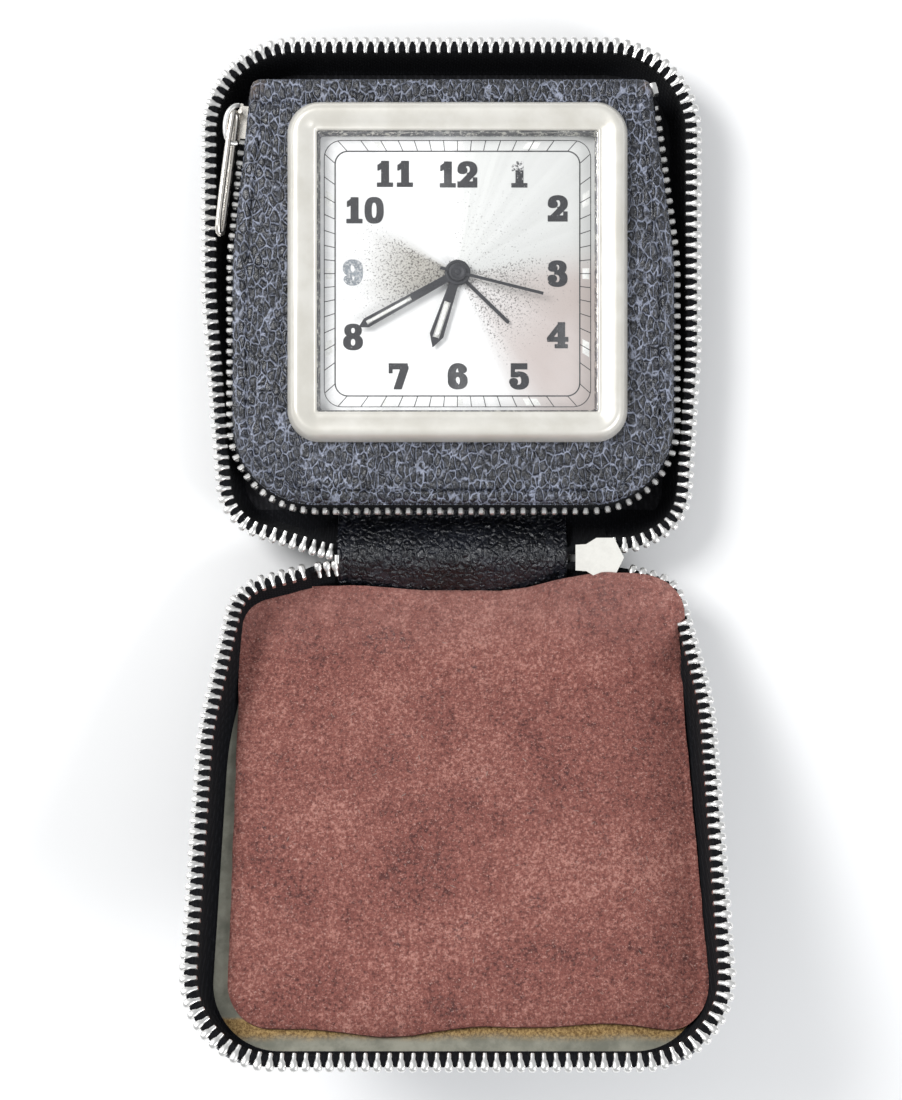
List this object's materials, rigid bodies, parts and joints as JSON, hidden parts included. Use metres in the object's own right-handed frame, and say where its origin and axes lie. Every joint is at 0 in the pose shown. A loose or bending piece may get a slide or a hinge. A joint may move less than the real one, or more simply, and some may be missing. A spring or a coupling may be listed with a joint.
{
  "type": "travel alarm clock",
  "caption": "Square travel alarm clock in a zip-around pebbled leather case, opened out with its suede-lined lid tilted up on an arched leather spine.",
  "frame": {"origin": "centre of the flat back of the clock half, on the surface it lies on", "axes": "+X to the right of the dial, +Y towards twelve, +Z out of the dial; the lid opens towards -Y"},
  "size_m": [0.0868, 0.1686, 0.0481],
  "materials": {
    "black_leather": "pebbled, glossy where worn",
    "board": "dull grey-green board",
    "lining_cloth": "plain black cloth",
    "suede": "matt suede, mottled",
    "zip_tape": "woven cotton tape",
    "zip_metal": "nickelled, rubbed bright",
    "bezel_metal": "satin champagne",
    "clear_glass": "clear acrylic",
    "dial_metal": "sunburst brushed silver",
    "case_tin": "plain tinplate",
    "steel": "bright steel",
    "brass": "plain brass",
    "hand_paint": "dark grey paint",
    "key_metal": "plated steel"
  },
  "bodies": {
    "case_back": {"back_cover": "black_leather", "back_board": "board", "back_lining": "lining_cloth", "panel_hinge_leather": "black_leather", "inner_tray_wall": "black_leather", "main_zip_tape_back": "zip_tape", "main_zip_teeth_back": "zip_metal", "inner_zip_tape_tray": "zip_tape", "inner_zip_teeth_tray": "zip_metal"},
    "spine_back": {"spine_flap_back": "black_leather", "main_zip_bottom_stop": "zip_metal"},
    "spine_lid": {"spine_flap_lid": "black_leather"},
    "lid": {"lid_cover": "black_leather", "lid_board": "board", "suede_panel": "suede", "main_zip_tape_lid": "zip_tape", "main_zip_teeth_lid": "zip_metal"},
    "main_slider": {"main_slider": "zip_metal"},
    "main_pull": {"main_pull_tab": "zip_metal"},
    "clock_panel": {"panel_leather": "black_leather", "panel_board": "board", "panel_side_leather": "black_leather", "inner_zip_tape_panel": "zip_tape", "inner_zip_teeth_panel": "zip_metal", "bezel": "bezel_metal", "crystal": "clear_glass", "dial": "dial_metal", "movement_case": "case_tin", "rear_cover": "case_tin", "rear_cover_screws": "steel", "movement_back_plate": "brass", "movement_front_plate": "brass", "movement_pillars": "brass", "pillar_nuts": "steel", "hairspring": "steel"},
    "inner_slider": {"inner_slider": "zip_metal"},
    "inner_pull": {"inner_pull_tab": "zip_metal"},
    "going_barrel": {"mainspring_barrel": "brass", "mainspring": "steel"},
    "alarm_barrel": {"alarm_barrel": "brass", "alarm_spring": "steel"},
    "centre_wheel": {"centre_wheel": "brass"},
    "third_wheel": {"third_wheel": "brass"},
    "fourth_wheel": {"fourth_wheel": "brass", "seconds_hand": "hand_paint"},
    "escape_wheel": {"escape_wheel": "brass"},
    "pallet_fork": {"pallet_fork": "steel"},
    "balance": {"balance_wheel": "brass"},
    "alarm_hammer": {"alarm_hammer": "steel"},
    "minute_hand": {"cannon_pinion": "brass", "minute_hand": "hand_paint"},
    "hour_hand": {"hour_wheel": "brass", "hour_hand": "hand_paint"},
    "alarm_hand": {"alarm_wheel": "brass", "alarm_hand": "hand_paint"},
    "time_key": {"time_winding_key": "key_metal"},
    "alarm_key": {"alarm_winding_key": "key_metal"},
    "time_knob": {"time_setting_knob": "key_metal"},
    "alarm_knob": {"alarm_setting_knob": "key_metal"},
    "stop_button": {"alarm_stop_button": "key_metal"}
  },
  "joints": [
    {"name": "spine_fold", "type": "hinge", "parent": "case_back", "child": "spine_back", "pos_m": [0, -0.0385, 0.0011], "axis": [-1, 0, 0], "range_deg": [0, 39.42]},
    {"name": "spine_crease", "type": "hinge", "parent": "spine_back", "child": "spine_lid", "pos_m": [0, -0.0449, 0.00891], "axis": [-1, 0, 0], "range_deg": [0, 101.36]},
    {"name": "lid_fold", "type": "hinge", "parent": "spine_lid", "child": "lid", "pos_m": [0, -0.0513, 0.0011], "axis": [-1, 0, 0], "range_deg": [0, 12.42]},
    {"name": "panel_hinge", "type": "hinge", "parent": "case_back", "child": "clock_panel", "pos_m": [0, 0.0365, 0.01], "axis": [1, 0, 0], "range_deg": [-78, 0]},
    {"name": "main_slider_slide", "type": "slide", "parent": "case_back", "child": "main_slider", "axis": [1, 0, 0], "range_m": [0, 0.0025]},
    {"name": "main_pull_swing", "type": "hinge", "parent": "main_slider", "child": "main_pull", "pos_m": [0.0254, -0.0453, 0.0064], "axis": [0, 1, 0], "range_deg": [-150, 5]},
    {"name": "inner_slider_slide", "type": "slide", "parent": "clock_panel", "child": "inner_slider", "axis": [-0.1058, -0.9944, 0], "range_m": [0, 0.005]},
    {"name": "inner_pull_swing", "type": "hinge", "parent": "inner_slider", "child": "inner_pull", "pos_m": [-0.03597, 0.03077, 0.0125], "axis": [0, 0, 1], "range_deg": [-110, 0]},
    {"name": "minute_turn", "type": "hinge", "parent": "clock_panel", "child": "minute_hand", "pos_m": [0.0011, 0.0031, 0.0152], "axis": [0, 0, -1], "continuous": true},
    {"name": "hour_turn", "type": "hinge", "parent": "clock_panel", "child": "hour_hand", "pos_m": [0.0011, 0.0031, 0.0148], "axis": [0, 0, -1], "continuous": true},
    {"name": "time_knob_turn", "type": "hinge", "parent": "clock_panel", "child": "time_knob", "pos_m": [0.0011, 0.0031, 0.005], "axis": [0, 0, -1], "continuous": true},
    {"name": "seconds_turn", "type": "hinge", "parent": "clock_panel", "child": "fourth_wheel", "pos_m": [0.0011, 0.0031, 0.008], "axis": [0, 0, -1], "continuous": true},
    {"name": "third_wheel_turn", "type": "hinge", "parent": "clock_panel", "child": "third_wheel", "pos_m": [0.0011, 0.01025, 0.0085], "axis": [0, 0, -1], "continuous": true},
    {"name": "centre_wheel_turn", "type": "hinge", "parent": "clock_panel", "child": "centre_wheel", "pos_m": [0.0011, 0.0031, 0.0117], "axis": [0, 0, -1], "continuous": true},
    {"name": "barrel_turn", "type": "hinge", "parent": "clock_panel", "child": "going_barrel", "pos_m": [-0.0095, -0.0043, 0.0092], "axis": [0, 0, -1], "continuous": true},
    {"name": "escape_wheel_turn", "type": "hinge", "parent": "clock_panel", "child": "escape_wheel", "pos_m": [0.008, 0.0005, 0.0098], "axis": [0, 0, -1], "continuous": true},
    {"name": "pallet_swing", "type": "hinge", "parent": "clock_panel", "child": "pallet_fork", "pos_m": [0.0137, -0.0025, 0.0098], "axis": [0, 0, 1], "range_deg": [-5, 5]},
    {"name": "balance_swing", "type": "hinge", "parent": "clock_panel", "child": "balance", "pos_m": [0.0187, -0.0081, 0.0108], "axis": [0, 0, 1], "range_deg": [-170, 170], "stiffness_Nm_per_rad": 0.0000011},
    {"name": "hammer_swing", "type": "hinge", "parent": "clock_panel", "child": "alarm_hammer", "pos_m": [0.0226, 0.0036, 0.0121], "axis": [0, 0, 1], "range_deg": [-6, 6]},
    {"name": "alarm_barrel_turn", "type": "hinge", "parent": "clock_panel", "child": "alarm_barrel", "pos_m": [0.0131, 0.0171, 0.0092], "axis": [0, 0, -1], "continuous": true},
    {"name": "alarm_hand_turn", "type": "hinge", "parent": "clock_panel", "child": "alarm_hand", "pos_m": [0.0011, 0.0031, 0.0144], "axis": [0, 0, -1], "continuous": true},
    {"name": "alarm_knob_turn", "type": "hinge", "parent": "clock_panel", "child": "alarm_knob", "pos_m": [0.0001, -0.0159, 0.005], "axis": [0, 0, -1], "continuous": true},
    {"name": "time_key_turn", "type": "hinge", "parent": "clock_panel", "child": "time_key", "pos_m": [-0.0095, -0.0043, 0.0042], "axis": [0, 0, -1], "continuous": true},
    {"name": "alarm_key_turn", "type": "hinge", "parent": "clock_panel", "child": "alarm_key", "pos_m": [0.0131, 0.0171, 0.0042], "axis": [0, 0, -1], "continuous": true},
    {"name": "stop_button_press", "type": "slide", "parent": "clock_panel", "child": "stop_button", "axis": [0, 0, 1], "range_m": [0, 0.001], "stiffness_N_per_m": 20}
  ],
  "couplings": [
    {"joint": "spine_fold", "follows": "spine_crease", "ratio": 0.38794},
    {"joint": "lid_fold", "follows": "spine_crease", "ratio": 0.12156},
    {"joint": "hour_turn", "follows": "minute_turn", "ratio": 0.083333},
    {"joint": "time_knob_turn", "follows": "minute_turn", "ratio": 1},
    {"joint": "third_wheel_turn", "follows": "seconds_turn", "ratio": -0.13333},
    {"joint": "centre_wheel_turn", "follows": "seconds_turn", "ratio": 0.016667},
    {"joint": "barrel_turn", "follows": "seconds_turn", "ratio": -0.0027778},
    {"joint": "escape_wheel_turn", "follows": "seconds_turn", "ratio": -7.5},
    {"joint": "alarm_knob_turn", "follows": "alarm_hand_turn", "ratio": -3}
  ]
}
